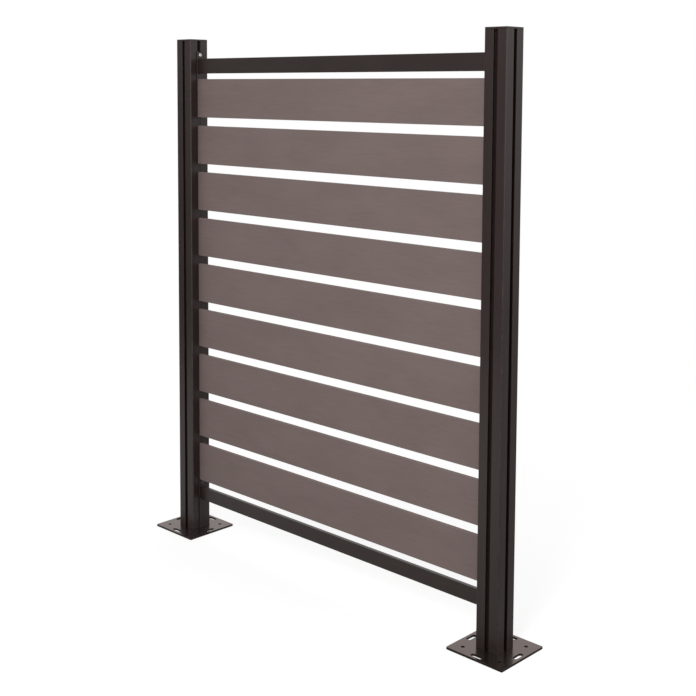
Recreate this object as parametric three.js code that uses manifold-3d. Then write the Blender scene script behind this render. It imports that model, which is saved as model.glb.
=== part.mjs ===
// Garden privacy screen: composite slats carried between two slotted aluminium posts,
// each post standing on its own square base plate.
//
// Millimetres, +Z up. X runs along the screen, the front faces -Y, and the origin is on
// the ground midway between the posts.

import * as THREE from 'three';
import { mergeVertices } from 'three/addons/utils/BufferGeometryUtils.js';
import Module from 'manifold-3d';

// ---------------------------------------------------------------------------
// Driving dimensions
// ---------------------------------------------------------------------------

// Clearances.
const FIT = 0.3; // between faces that touch on the real object
const SLAT_PLAY = 1; // each side of a slat in the slot mouth
const KEY_PLAY = 0.5; // each side of a sliding key in the slot
const RAIL_END_PLAY = 1.5; // between a rail's end and its bracket
const CAP_PLAY = 0.4; // each side of the cap's plug in the post

// Post extrusion: a square tube with a T-slot down the middle of every face.
const POST_W = 80;
const POST_CORNER_R = 4;
const POST_CENTRES = 1404; // between the axes of the two posts
const SKIN = 2.5; // outer wall and slot wall of the extrusion
const SLOT_W = 15; // mouth of the slot
const SLOT_LIP = 3; // thickness of the lips beside the mouth
const SLOT_LIP_EASE = 0.8; // chamfer on the lips' outer edges
const SLOT_INNER_W = 27; // width behind the lips
const SLOT_DEPTH = 16; // from the face to the slot floor
const PORT_D = 5.5; // screw port in each corner of the extrusion
const PORT_WALL = 2.5;

// End cap.
const CAP_T = 6;
const CAP_EDGE = 1;
const CAP_PLUG_H = 20;
const CAP_PLUG_WALL = 2.5;

// Base plate, its anchor slots and corner holes.
const PLATE_W = 204;
const PLATE_T = 7;
const PLATE_CORNER_R = 3;
const PLATE_EDGE = 0.6;
const ANCHOR_SLOT_L = 41;
const ANCHOR_SLOT_W = 15;
const ANCHOR_SLOT_INSET = 17; // plate edge to the slot's centre line
const CORNER_HOLE_D = 12;
const CORNER_HOLE_INSET = 35.5; // plate edges to the hole's centre

// Slats.
const SLAT_COUNT = 9;
const SLAT_H = 139;
const SLAT_GAP = 30.5;
const SLAT_EDGE_R = 1.2;
const SLAT_ENTRY = 12; // how far each slat end reaches into the post

// Rails.
const TOP_RAIL_H = 54;
const BOTTOM_RAIL_H = 48.5;
const RAIL_T = 14;
const RAIL_WALL = 1.8;
const RAIL_EDGE_R = 1.5;

// Keys: the spacers, standoffs and rail brackets that slide in the posts' inner slots.
const KEY_HEAD_T = 6; // head behind the slot's lips
const FLANGE_W = 24; // standoffs and brackets only: flange on the post's face
const FLANGE_T = 4;
const FLANGE_EASE = 0.8;
const SPACER_RECESS = 1.5; // spacer's face behind the post's face
const TONGUE_L = 25; // bracket tongue inside the rail

// Heights up the post.
const GROUND_GAP = 117.5; // ground to the underside of the bottom rail
const BRACKET_EAR = 25; // bracket above each rail, where its screw goes
const TOP_RAIL_DROP = 20; // bracket below the top rail, down to the first slat
const POST_RISE = 38.4; // open slot above the top bracket

// Bracket screws: pan head, into the slot floor.
const BRACKET_SCREW_D = 5.5;
const BRACKET_SCREW_HEAD_D = 13;
const BRACKET_SCREW_HEAD_H = 4;
const BRACKET_SCREW_TIP = 5;
const HEX_KEY_W = 5;
const HEX_DEPTH = 2.4;

// Plate screws: countersunk, up into the post's screw ports.
const PLATE_SCREW_D = 4.8;
const PLATE_SCREW_HEAD_D = 10;
const PLATE_SCREW_L = 36;
const PLATE_SCREW_TIP = 4;

// Facets on a quarter turn of an edge, and on a full turn of a hole or screw.
const EDGE_STEPS = 6;
const HOLE_STEPS = 20;

// ---------------------------------------------------------------------------
// Sizes that follow from them
// ---------------------------------------------------------------------------

const POST_HALF = POST_W / 2;
const SLOT_FLOOR = POST_HALF - SLOT_DEPTH; // post axis to the slot floor
const CORE_HALF = SLOT_FLOOR - SKIN; // half of the square core inside the slots
const PORT_OFFSET = POST_HALF - SKIN - PORT_D / 2 - PORT_WALL / 2;
const SLAT_T = SLOT_W - 2 * SLAT_PLAY;
const CLEAR_SPAN = POST_CENTRES - POST_W; // between the posts' inner faces

const SLATS_Z = GROUND_GAP + BOTTOM_RAIL_H + BRACKET_EAR; // underside of the lowest slat
const SLAT_PITCH = SLAT_H + SLAT_GAP;
const SLATS_TOP = SLATS_Z + SLAT_COUNT * SLAT_H + (SLAT_COUNT - 1) * SLAT_GAP;
const TOP_RAIL_Z = SLATS_TOP + TOP_RAIL_DROP;
const TOP_BRACKET_END = TOP_RAIL_Z + TOP_RAIL_H + BRACKET_EAR;
const POST_TOP = TOP_BRACKET_END + POST_RISE;
const POST_FOOT = PLATE_T + FIT;
const POST_L = POST_TOP - POST_FOOT;

const FLANGE_BACK = POST_HALF + FIT;
const FLANGE_FACE = FLANGE_BACK + FLANGE_T;
const BRACKET_SCREW_REACH = FLANGE_T + FIT + SLOT_DEPTH + SKIN;
const BOTTOM_SCREW_Z = GROUND_GAP + BOTTOM_RAIL_H + BRACKET_EAR / 2;
const TOP_SCREW_Z = TOP_BRACKET_END - BRACKET_EAR / 2;
const QUARTER_TURN = Math.PI / 2;

// ---------------------------------------------------------------------------
// Solid helpers
// ---------------------------------------------------------------------------

const wasm = await Module();
wasm.setup();

/** Turns a closed three.js geometry into a solid that can be cut and joined. */
function solidOf(geometry) {
  geometry.deleteAttribute('normal');
  geometry.deleteAttribute('uv');
  const merged = mergeVertices(geometry, 1e-4);
  const mesh = new wasm.Mesh({
    numProp: 3,
    vertProperties: new Float32Array(merged.attributes.position.array),
    triVerts: new Uint32Array(merged.index.array),
  });
  return new wasm.Manifold(mesh);
}

/** Turns a solid back into a three.js geometry. */
function geometryOf(solid) {
  const mesh = solid.getMesh();
  const geometry = new THREE.BufferGeometry();
  geometry.setAttribute('position', new THREE.BufferAttribute(mesh.vertProperties, 3));
  geometry.setIndex(new THREE.BufferAttribute(mesh.triVerts, 1));
  return geometry;
}

/** Joins a list of solids. */
function joined(solids) {
  return solids.reduce((sum, solid) => sum.add(solid));
}

/** Takes each of a list of solids away from the first. */
function cut(solid, tools) {
  return tools.reduce((rest, tool) => rest.subtract(tool), solid);
}

/** Extrudes an outline from z0 to z1. */
function prism(shape, z0, z1) {
  const geometry = new THREE.ExtrudeGeometry(shape, {
    depth: z1 - z0,
    bevelEnabled: false,
    curveSegments: EDGE_STEPS,
  });
  return geometry.translate(0, 0, z0);
}

/** Extrudes an outline along X, with the outline's x and y lying along Y and Z. */
function prismAlongX(shape, x0, x1) {
  return prism(shape, x0, x1).applyMatrix4(alongX());
}

/** The turn that lays local x, y and z along world Y, Z and X. */
function alongX() {
  const acrossAxis = new THREE.Vector3(0, 1, 0);
  const upAxis = new THREE.Vector3(0, 0, 1);
  const lengthAxis = new THREE.Vector3(1, 0, 0);
  return new THREE.Matrix4().makeBasis(acrossAxis, upAxis, lengthAxis);
}

/** A closed outline through a list of [x, y] corners. */
function outline(corners) {
  return new THREE.Shape(corners.map(([x, y]) => new THREE.Vector2(x, y)));
}

/** A rectangle about the origin with rounded corners. */
function roundedRectangle(width, height, radius) {
  const w = width / 2 - radius;
  const h = height / 2 - radius;
  const shape = new THREE.Shape();
  shape.absarc(w, h, radius, 0, QUARTER_TURN);
  shape.absarc(-w, h, radius, QUARTER_TURN, 2 * QUARTER_TURN);
  shape.absarc(-w, -h, radius, 2 * QUARTER_TURN, 3 * QUARTER_TURN);
  shape.absarc(w, -h, radius, 3 * QUARTER_TURN, 4 * QUARTER_TURN);
  return shape;
}

/** A plate on z = 0 whose top edge is chamfered all round. */
function edgedPlate(width, radius, thickness, edge) {
  const geometry = new THREE.ExtrudeGeometry(roundedRectangle(width, width, radius), {
    depth: thickness - edge,
    bevelEnabled: true,
    bevelThickness: edge,
    bevelSize: edge,
    bevelOffset: -edge,
    bevelSegments: 1,
    curveSegments: EDGE_STEPS,
  });
  const below = new THREE.BoxGeometry(2 * width, 2 * width, width);
  below.translate(0, 0, -width / 2);
  return solidOf(geometry).subtract(solidOf(below));
}

/** A round bar along Z from z0 to z1. */
function bar(diameter, x, y, z0, z1) {
  const geometry = new THREE.CylinderGeometry(
    diameter / 2, diameter / 2, z1 - z0, HOLE_STEPS);
  geometry.rotateX(QUARTER_TURN);
  return geometry.translate(x, y, (z0 + z1) / 2);
}

/** A round bar along X, centred on y = 0, from x0 to x1. */
function barAlongX(diameter, z, x0, x1) {
  const geometry = bar(diameter, 0, 0, x0, x1).applyMatrix4(alongX());
  return geometry.translate(0, 0, z);
}

/** A box between two corners. */
function block([x0, y0, z0], [x1, y1, z1]) {
  const geometry = new THREE.BoxGeometry(x1 - x0, y1 - y0, z1 - z0);
  return geometry.translate((x0 + x1) / 2, (y0 + y1) / 2, (z0 + z1) / 2);
}

/** Copies of a solid at each of the four quarter turns about Z. */
function fourSides(geometry) {
  return [0, 1, 2, 3].map((turn) => solidOf(geometry.clone().rotateZ(turn * QUARTER_TURN)));
}

// ---------------------------------------------------------------------------
// Finishes
// ---------------------------------------------------------------------------

const coating = () => new THREE.MeshStandardMaterial({
  color: 0x2f2b28, roughness: 0.35, metalness: 0.4 });
const composite = () => new THREE.MeshStandardMaterial({
  color: 0x6c6361, roughness: 0.7, metalness: 0 });
const moulding = () => new THREE.MeshStandardMaterial({
  color: 0x262423, roughness: 0.5, metalness: 0 });
const zinc = () => new THREE.MeshStandardMaterial({
  color: 0xc9ccce, roughness: 0.3, metalness: 1 });

// ---------------------------------------------------------------------------
// Post and its ends
// ---------------------------------------------------------------------------

/** The space of one T-slot, on the +X face, open past the face. */
function slotSpace(z0, z1) {
  const mouth = SLOT_W / 2;
  const inner = SLOT_INNER_W / 2;
  const lipBack = POST_HALF - SLOT_LIP;
  const easeStart = POST_HALF - SLOT_LIP_EASE;
  const past = POST_HALF + SLOT_LIP_EASE;
  const eased = mouth + 2 * SLOT_LIP_EASE;
  return prism(outline([
    [SLOT_FLOOR, -inner], [lipBack, -inner], [lipBack, -mouth], [easeStart, -mouth],
    [past, -eased], [past, eased],
    [easeStart, mouth], [lipBack, mouth], [lipBack, inner], [SLOT_FLOOR, inner],
  ]), z0, z1);
}

/** The hollow inside the extrusion, around the slots' walls and the screw ports. */
function postHollow(z0, z1) {
  const inside = POST_HALF - SKIN;
  const slotHalf = SLOT_INNER_W / 2 + SKIN;
  const hollow = solidOf(block([-inside, -inside, z0], [inside, inside, z1]));
  const slotWalls = fourSides(block([CORE_HALF, -slotHalf, z0], [POST_HALF, slotHalf, z1]));
  const port = bar(PORT_D + 2 * PORT_WALL, PORT_OFFSET, PORT_OFFSET, z0, z1);
  return cut(hollow, [...slotWalls, ...fourSides(port)]);
}

/** The extrusion, with pilot holes for the bracket screws in its +X slot floor. */
function postGeometry() {
  const z0 = POST_FOOT;
  const z1 = POST_TOP;
  const before = z0 - SKIN;
  const beyond = z1 + SKIN;
  const body = solidOf(prism(roundedRectangle(POST_W, POST_W, POST_CORNER_R), z0, z1));
  const ports = fourSides(bar(PORT_D, PORT_OFFSET, PORT_OFFSET, before, beyond));
  const pilotD = BRACKET_SCREW_D + 2 * FIT;
  const pilots = [BOTTOM_SCREW_Z, TOP_SCREW_Z].map((z) =>
    solidOf(barAlongX(pilotD, z, CORE_HALF - SKIN, SLOT_FLOOR + SKIN)));
  return geometryOf(cut(body, [
    ...fourSides(slotSpace(before, beyond)),
    postHollow(before, beyond),
    ...ports,
    ...pilots,
  ]));
}

/** The end cap: a flat plate with a square plug that fits the post's core. */
function capGeometry() {
  const plate = edgedPlate(POST_W, POST_CORNER_R, CAP_T, CAP_EDGE);
  const outer = CORE_HALF - CAP_PLAY;
  const inner = outer - CAP_PLUG_WALL;
  const root = CAP_T / 2;
  const plug = solidOf(block([-outer, -outer, -CAP_PLUG_H], [outer, outer, root]));
  const well = solidOf(block([-inner, -inner, -CAP_PLUG_H - 1], [inner, inner, 0]));
  return geometryOf(plate.add(plug).subtract(well));
}

/** One anchor slot of the base plate, beside its +X edge. */
function anchorSlot() {
  const straight = (ANCHOR_SLOT_L - ANCHOR_SLOT_W) / 2;
  const radius = ANCHOR_SLOT_W / 2;
  const shape = new THREE.Shape();
  shape.absarc(0, straight, radius, 0, 2 * QUARTER_TURN);
  shape.absarc(0, -straight, radius, 2 * QUARTER_TURN, 4 * QUARTER_TURN);
  const geometry = new THREE.ExtrudeGeometry(shape, {
    depth: 3 * PLATE_T,
    bevelEnabled: false,
    curveSegments: HOLE_STEPS / 2,
  });
  return geometry.translate(PLATE_W / 2 - ANCHOR_SLOT_INSET, 0, -PLATE_T);
}

/** A countersunk hole through the base plate for one plate screw. */
function plateScrewHole() {
  const holeR = PLATE_SCREW_D / 2 + FIT;
  const headR = PLATE_SCREW_HEAD_D / 2 + FIT;
  const profile = [
    [0, -1], [headR + 1, -1], [headR, 0], [holeR, headR - holeR], [holeR, PLATE_T + 1],
    [0, PLATE_T + 1],
  ];
  return turned(profile).translate(PORT_OFFSET, PORT_OFFSET, 0);
}

/** Turns a profile of [radius, z] points about Z. */
function turned(profile) {
  const points = profile.map(([radius, z]) => new THREE.Vector2(radius, z));
  return new THREE.LatheGeometry(points, HOLE_STEPS).rotateX(QUARTER_TURN);
}

/** The base plate with its anchor slots, corner holes and screw holes. */
function plateGeometry() {
  const plate = edgedPlate(PLATE_W, PLATE_CORNER_R, PLATE_T, PLATE_EDGE);
  const corner = PLATE_W / 2 - CORNER_HOLE_INSET;
  const cornerHole = bar(CORNER_HOLE_D, corner, corner, -PLATE_T, 2 * PLATE_T);
  return geometryOf(cut(plate, [
    ...fourSides(anchorSlot()),
    ...fourSides(cornerHole),
    ...fourSides(plateScrewHole()),
  ]));
}

// ---------------------------------------------------------------------------
// Keys: spacers, standoffs and rail brackets
// ---------------------------------------------------------------------------

/** A key's section: a head behind the slot's lips and a neck in its mouth, then the
 * points of its outer end, given for the +Y side and mirrored for the other. */
function keySection(outerEnd) {
  const neck = SLOT_W / 2 - KEY_PLAY;
  const head = SLOT_INNER_W / 2 - KEY_PLAY;
  const headFront = POST_HALF - SLOT_LIP - KEY_PLAY;
  const headBack = headFront - KEY_HEAD_T;
  const side = [[headBack, head], [headFront, head], [headFront, neck], ...outerEnd(neck)];
  const otherSide = side.map(([x, y]) => [x, -y]);
  return outline([...otherSide, ...side.reverse()]);
}

/** The outer end of a spacer, just inside the slot's mouth. */
function recessedEnd(neck) {
  return [[POST_HALF - SPACER_RECESS, neck]];
}

/** The outer end of a standoff or bracket: a flange on the post's face. */
function flangedEnd(neck) {
  const flange = FLANGE_W / 2;
  return [
    [FLANGE_BACK, neck], [FLANGE_BACK, flange],
    [FLANGE_FACE - FLANGE_EASE, flange], [FLANGE_FACE, flange - FLANGE_EASE],
  ];
}

/** A spacer between two heights. */
function spacerGeometry(z0, z1) {
  return prism(keySection(recessedEnd), z0, z1);
}

/** A key with a flange, between two heights. */
function flangedKeyGeometry(z0, z1) {
  return prism(keySection(flangedEnd), z0, z1);
}

/** A rail bracket: a flanged key with a tongue for the hollow rail and a screw hole in
 * its ear. */
function bracketGeometry(z0, z1, railZ, railHeight, screwZ) {
  const halfThickness = RAIL_T / 2 - RAIL_WALL - FIT;
  const inset = RAIL_WALL + FIT;
  const tongue = block(
    [FLANGE_BACK, -halfThickness, railZ + inset],
    [FLANGE_FACE + TONGUE_L, halfThickness, railZ + railHeight - inset]);
  const holeD = BRACKET_SCREW_D + 2 * FIT;
  const hole = barAlongX(holeD, screwZ, CORE_HALF, FLANGE_FACE + FLANGE_T);
  const key = solidOf(flangedKeyGeometry(z0, z1));
  return geometryOf(key.add(solidOf(tongue)).subtract(solidOf(hole)));
}

// ---------------------------------------------------------------------------
// Screws
// ---------------------------------------------------------------------------

/** A pan-head bracket screw with a hex socket, pointing into the post along -X. */
function bracketScrewGeometry(z) {
  const shank = BRACKET_SCREW_D / 2;
  const head = BRACKET_SCREW_HEAD_D / 2;
  const height = BRACKET_SCREW_HEAD_H;
  const reach = BRACKET_SCREW_REACH + FIT;
  const dome = new THREE.EllipseCurve(head * 0.55, height * 0.4, head * 0.45, height * 0.6,
    0, QUARTER_TURN).getPoints(EDGE_STEPS).map((point) => [point.x, point.y]);
  const screw = solidOf(turned([
    [0, -reach - BRACKET_SCREW_TIP], [shank, -reach], [shank, 0], [head, 0],
    ...dome, [0, height],
  ]));
  const hexR = HEX_KEY_W / Math.sqrt(3);
  const socket = new THREE.CylinderGeometry(hexR, hexR, 2 * HEX_DEPTH, 6);
  socket.rotateX(QUARTER_TURN).translate(0, 0, height);
  const geometry = geometryOf(screw.subtract(solidOf(socket)));
  return geometry.applyMatrix4(alongX()).translate(FLANGE_FACE + FIT, 0, z);
}

/** A countersunk plate screw, its head flush with the underside of the plate. */
function plateScrewGeometry() {
  const shank = PLATE_SCREW_D / 2;
  const head = PLATE_SCREW_HEAD_D / 2;
  const flush = FIT;
  const neck = flush + head - shank;
  return turned([
    [0, flush], [head, flush], [shank, neck], [shank, PLATE_SCREW_L - PLATE_SCREW_TIP],
    [0, PLATE_SCREW_L],
  ]);
}

// ---------------------------------------------------------------------------
// Slats and rails
// ---------------------------------------------------------------------------

/** One slat along X, standing on z = 0, its ends inside the posts' slots. */
function slatGeometry() {
  const half = CLEAR_SPAN / 2 + SLAT_ENTRY;
  const section = roundedRectangle(SLAT_T, SLAT_H, SLAT_EDGE_R);
  return prismAlongX(section, -half, half).translate(0, 0, SLAT_H / 2);
}

/** A hollow rail along X, standing on z = 0, between the two brackets' flanges. */
function railGeometry(height) {
  const half = POST_CENTRES / 2 - FLANGE_FACE - RAIL_END_PLAY;
  const section = roundedRectangle(RAIL_T, height, RAIL_EDGE_R);
  const hollowT = RAIL_T - 2 * RAIL_WALL;
  const hollowH = height - 2 * RAIL_WALL;
  section.holes.push(outline([
    [-hollowT / 2, -hollowH / 2], [-hollowT / 2, hollowH / 2],
    [hollowT / 2, hollowH / 2], [hollowT / 2, -hollowH / 2],
  ]));
  return prismAlongX(section, -half, half).translate(0, 0, height / 2);
}

// ---------------------------------------------------------------------------
// Assembly
// ---------------------------------------------------------------------------

/** Adds a named piece to a group. */
function addPiece(group, name, geometry, material, z = 0) {
  const mesh = new THREE.Mesh(geometry, material);
  mesh.name = name;
  mesh.position.z = z;
  group.add(mesh);
}

/** The underside of a slat, counted from the top one as 1. */
function slatZ(number) {
  return SLATS_Z + (SLAT_COUNT - number) * SLAT_PITCH;
}

/** One post with all that it carries, its inner face looking along +X. */
function buildPost(side) {
  const group = new THREE.Group();
  addPiece(group, `${side}_base_plate`, plateGeometry(), coating());
  addPiece(group, `${side}_post`, postGeometry(), coating());
  addPiece(group, `${side}_post_cap`, capGeometry(), coating(), POST_TOP + FIT);
  for (let corner = 0; corner < 4; corner += 1) {
    const screw = plateScrewGeometry().translate(PORT_OFFSET, PORT_OFFSET, 0);
    screw.rotateZ(corner * QUARTER_TURN);
    addPiece(group, `${side}_plate_screw_${corner + 1}`, screw, zinc());
  }
  addKeys(group, side);
  addBrackets(group, side);
  return group;
}

/** The standoff below the bottom rail, and the spacers between the slats. */
function addKeys(group, side) {
  const standoff = flangedKeyGeometry(POST_FOOT, GROUND_GAP - FIT);
  addPiece(group, `${side}_standoff`, standoff, moulding());
  for (let gap = 1; gap < SLAT_COUNT; gap += 1) {
    const spacer = spacerGeometry(FIT, SLAT_GAP - FIT);
    addPiece(group, `${side}_spacer_${gap}`, spacer, moulding(), slatZ(gap) - SLAT_GAP);
  }
}

/** The two rail brackets and the screw that locks each one. */
function addBrackets(group, side) {
  const bottom = bracketGeometry(
    GROUND_GAP, SLATS_Z - FIT, GROUND_GAP, BOTTOM_RAIL_H, BOTTOM_SCREW_Z);
  const top = bracketGeometry(
    SLATS_TOP + FIT, TOP_BRACKET_END, TOP_RAIL_Z, TOP_RAIL_H, TOP_SCREW_Z);
  addPiece(group, `${side}_bottom_bracket`, bottom, coating());
  addPiece(group, `${side}_top_bracket`, top, coating());
  addPiece(group, `${side}_bottom_bracket_screw`, bracketScrewGeometry(BOTTOM_SCREW_Z), zinc());
  addPiece(group, `${side}_top_bracket_screw`, bracketScrewGeometry(TOP_SCREW_Z), zinc());
}

const screen = new THREE.Group();

const leftPost = buildPost('left');
leftPost.position.x = -POST_CENTRES / 2;
screen.add(leftPost);

const rightPost = buildPost('right');
rightPost.position.x = POST_CENTRES / 2;
rightPost.rotation.z = Math.PI;
screen.add(rightPost);

addPiece(screen, 'bottom_rail', railGeometry(BOTTOM_RAIL_H), coating(), GROUND_GAP);
addPiece(screen, 'top_rail', railGeometry(TOP_RAIL_H), coating(), TOP_RAIL_Z);
for (let number = 1; number <= SLAT_COUNT; number += 1) {
  addPiece(screen, `slat_${number}`, slatGeometry(), composite(), slatZ(number));
}

export default screen;
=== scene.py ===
"""Finishes the garden privacy screen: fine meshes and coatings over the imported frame.

Every piece is modelled where its own node stands, in metres, with the screen's
front towards -Y and the ground at z = 0. The left post and all that it carries
are modelled once; the right post carries the same pieces turned about the
screen's upright axis.
"""

import logging
import math
from collections.abc import Callable, Sequence
from dataclasses import dataclass
from enum import Enum
from typing import Any

import bmesh
import bpy
from mathutils import Matrix, Vector


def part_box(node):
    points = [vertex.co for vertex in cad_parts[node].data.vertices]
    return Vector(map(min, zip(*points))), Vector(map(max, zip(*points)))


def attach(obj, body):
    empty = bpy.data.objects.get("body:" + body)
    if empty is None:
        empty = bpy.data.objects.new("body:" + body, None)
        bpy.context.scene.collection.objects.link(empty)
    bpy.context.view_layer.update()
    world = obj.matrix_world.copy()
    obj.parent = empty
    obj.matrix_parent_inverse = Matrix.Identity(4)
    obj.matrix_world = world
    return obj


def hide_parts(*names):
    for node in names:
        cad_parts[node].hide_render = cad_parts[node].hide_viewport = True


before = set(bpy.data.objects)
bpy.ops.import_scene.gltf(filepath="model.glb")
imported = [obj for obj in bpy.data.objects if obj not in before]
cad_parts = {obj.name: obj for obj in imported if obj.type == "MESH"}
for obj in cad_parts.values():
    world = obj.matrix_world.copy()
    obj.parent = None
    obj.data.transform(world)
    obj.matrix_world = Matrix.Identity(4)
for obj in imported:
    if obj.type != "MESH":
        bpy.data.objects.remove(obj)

LOG = logging.getLogger("privacy_screen")

Triple = tuple[float, float, float]
Span = tuple[float, float]
Colour = tuple[int, int, int]
Test = Callable[[Any], bool]  # says of an edge or a face whether it is chosen

MILLIMETRE = 0.001
SPARE = 6 * MILLIMETRE  # how far a cutter runs past what it cuts
TOUCH = 0.01 * MILLIMETRE  # points nearer to each other than this are one
PARALLEL = 0.9999  # the least cosine between an axis and an edge along it
FACING = 0.999  # the least cosine between an axis and a face that looks along it
SCREW_POINT = 0.12  # the width of a screw's point, as a share of its shank
BLACK = (0.0, 0.0, 0.0, 1.0)
WHITE = (1.0, 1.0, 1.0, 1.0)
BODY = "root"


# --- Named choices ---


class Side(Enum):
    """Which end of the screen a piece stands at."""

    LEFT = "left"
    RIGHT = "right"

    def node(self, piece: str) -> str:
        """Returns the name of this side's node for a piece."""
        return f"{self.value}_{piece}"


class Axis(Enum):
    """A direction of the screen's frame."""

    X = 0
    Y = 1
    Z = 2

    @property
    def vector(self) -> Vector:
        """The unit vector along this axis."""
        return Vector([float(axis is self) for axis in Axis])


class Slot(Enum):
    """The material slots of the pieces."""

    POST = "coated_post"
    CAP = "coated_cap"
    PLATE = "coated_plate"
    RAIL = "coated_rail"
    BRACKET = "coated_bracket"
    KEY = "key_plastic"
    SLAT = "slat_composite"
    SCREW = "screw_steel"


class Pick(Enum):
    """What an edit-mode tool works on."""

    EDGES = "EDGE"
    FACES = "FACE"


# --- Measuring ---


def left_box(piece: str) -> tuple[Vector, Vector]:
    """Returns the lowest and the highest corner of a piece's node at the left post."""
    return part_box(Side.LEFT.node(piece))


def left_middle(piece: str) -> Triple:
    """Returns the middle of a piece's node at the left post."""
    return tuple((low + high) / 2 for low, high in zip(*left_box(piece)))


def everything(_: object) -> bool:
    """Passes any edge or face."""
    return True


def along(axis: Axis) -> Test:
    """Returns a test for the edges that are parallel to an axis.

    Args:
        axis: The axis to compare edges with.

    Returns:
        A test that holds where an edge leaves the axis by less than a degree.
    """
    def is_along(edge: bmesh.types.BMEdge) -> bool:
        """Tells whether an edge is parallel to the axis."""
        start, end = (vertex.co for vertex in edge.verts)
        return abs((end - start).normalized()[axis.value]) > PARALLEL

    return is_along


def lying_at(axis: Axis, place: float) -> Test:
    """Returns a test for the edges that lie in a plane.

    Args:
        axis: The axis that the plane stands across.
        place: Where it crosses that axis.

    Returns:
        A test that holds where both ends of an edge are in the plane.
    """
    def is_lying(edge: bmesh.types.BMEdge) -> bool:
        """Tells whether an edge lies in the plane."""
        return all(abs(vertex.co[axis.value] - place) < TOUCH for vertex in edge.verts)

    return is_lying


def looking(axis: Axis, sign: int = 1, reach: float = math.inf) -> Test:
    """Returns a test for the faces that look along an axis.

    Args:
        axis: The axis to compare faces with.
        sign: 1 for faces that look along it, -1 for those that look against it.
        reach: How far a face's middle may lie from the screen's middle plane.

    Returns:
        A test that holds where a face's normal lies that way.
    """
    def is_looking(face: bmesh.types.BMFace) -> bool:
        """Tells whether a face looks that way."""
        return (sign * face.normal[axis.value] > FACING
                and abs(face.calc_center_median().y) < reach)

    return is_looking


# --- Modelling bench ---


def clear_selection() -> None:
    """Leaves edit mode and deselects every object."""
    if bpy.context.object and bpy.context.object.mode != "OBJECT":
        bpy.ops.object.mode_set(mode="OBJECT")
    bpy.ops.object.select_all(action="DESELECT")


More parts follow.
